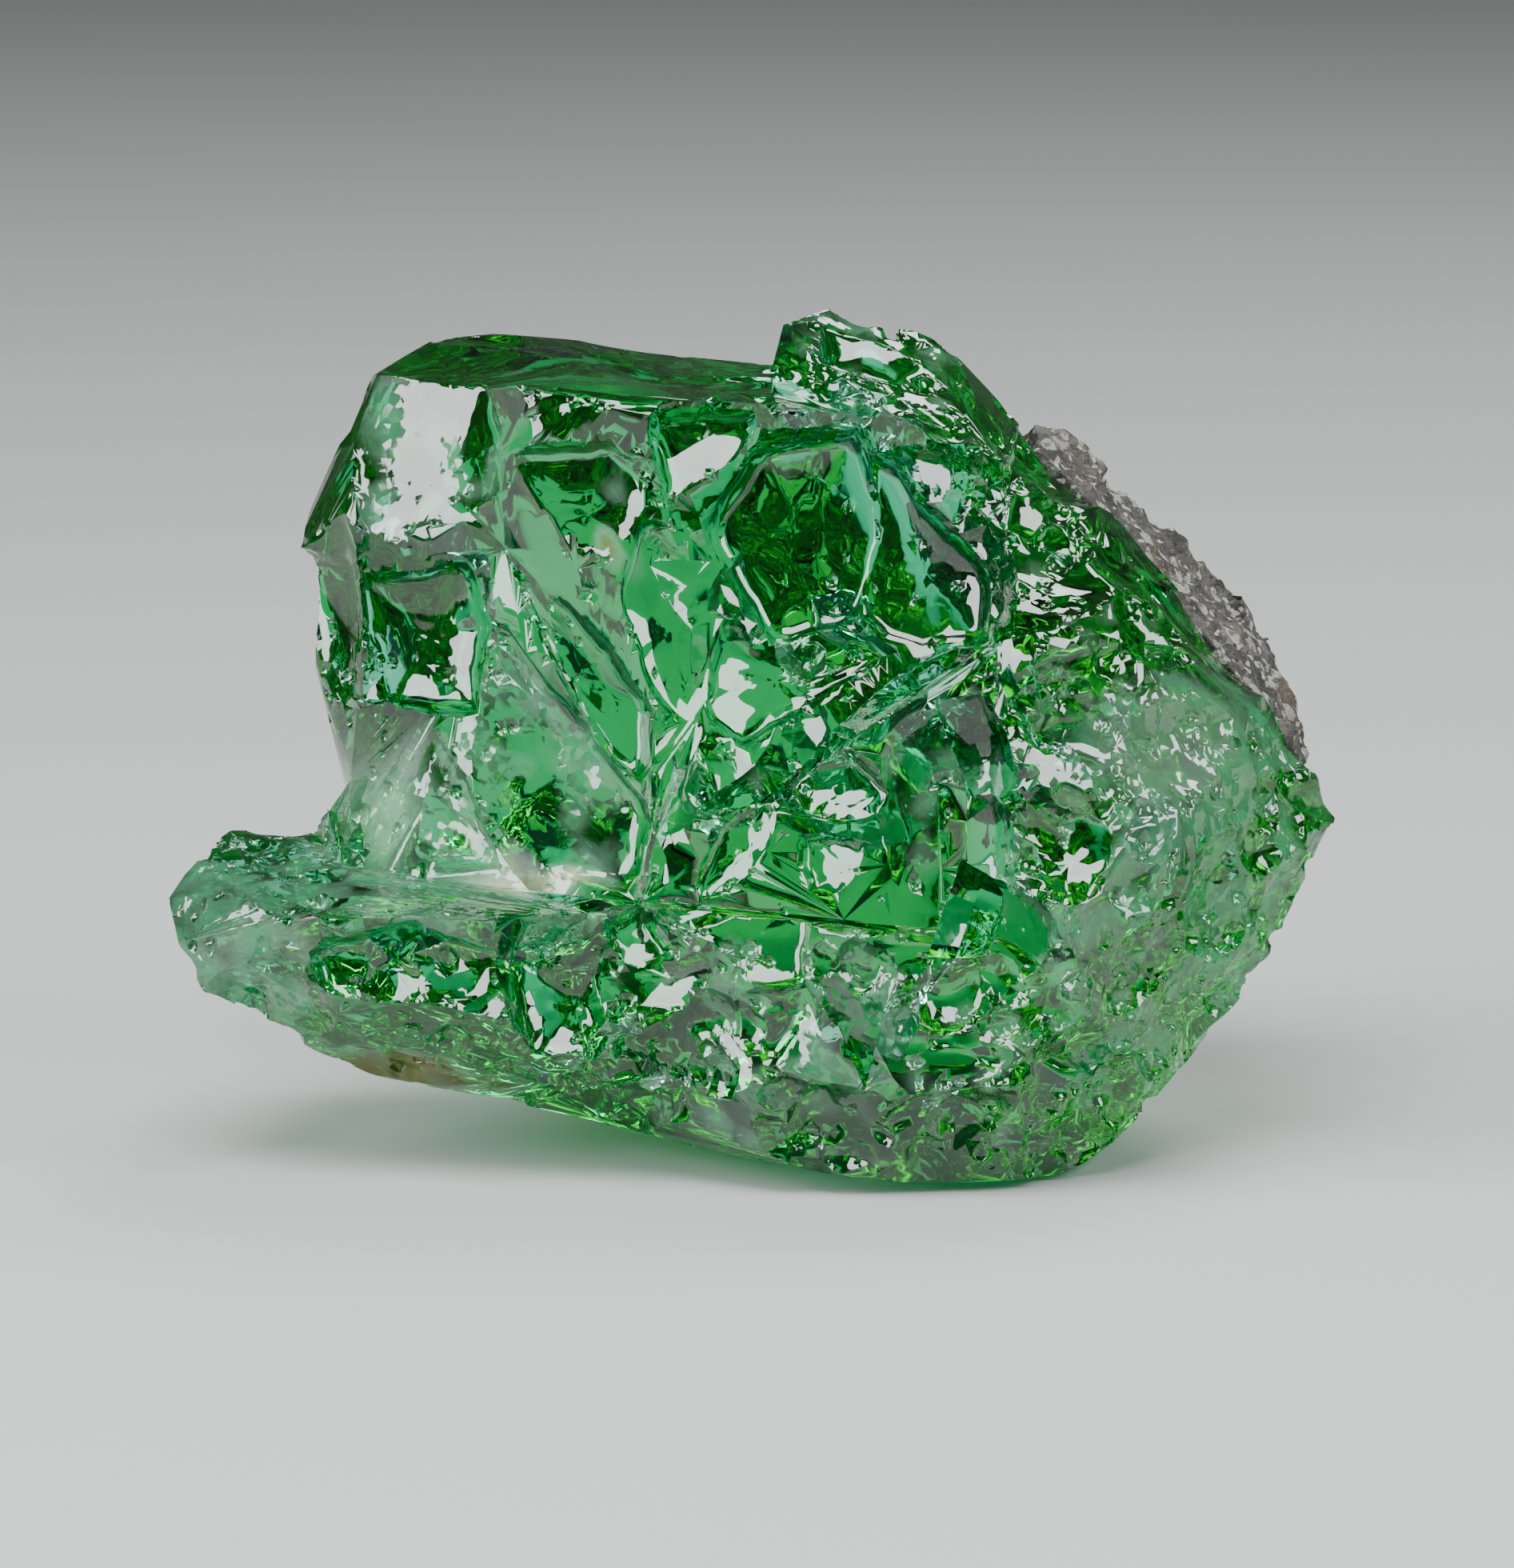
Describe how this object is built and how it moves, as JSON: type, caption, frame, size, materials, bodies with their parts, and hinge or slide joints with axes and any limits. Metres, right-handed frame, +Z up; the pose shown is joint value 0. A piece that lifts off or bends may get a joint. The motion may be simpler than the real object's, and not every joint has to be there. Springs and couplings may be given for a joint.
{
  "type": "rough gem crystal",
  "caption": "Broken rough piece of clear green garnet with a tall glassy crown, a side ledge, a frosted shoulder and a crust of dark host rock behind.",
  "frame": {"origin": "centre of the bounding box in plan, at the height of the flat base", "axes": "+X to the right along the longest way, from the ledge to the frosted shoulder; +Y toward the back; +Z up from the base"},
  "size_m": [0.0176, 0.0112, 0.0126],
  "materials": {
    "green_garnet": "broken glassy faces, frosted in places",
    "host_rock": "rough, granular"
  },
  "bodies": {
    "root": {"tsavorite_crystal": "green_garnet", "matrix_rock": "host_rock"}
  },
  "joints": []
}
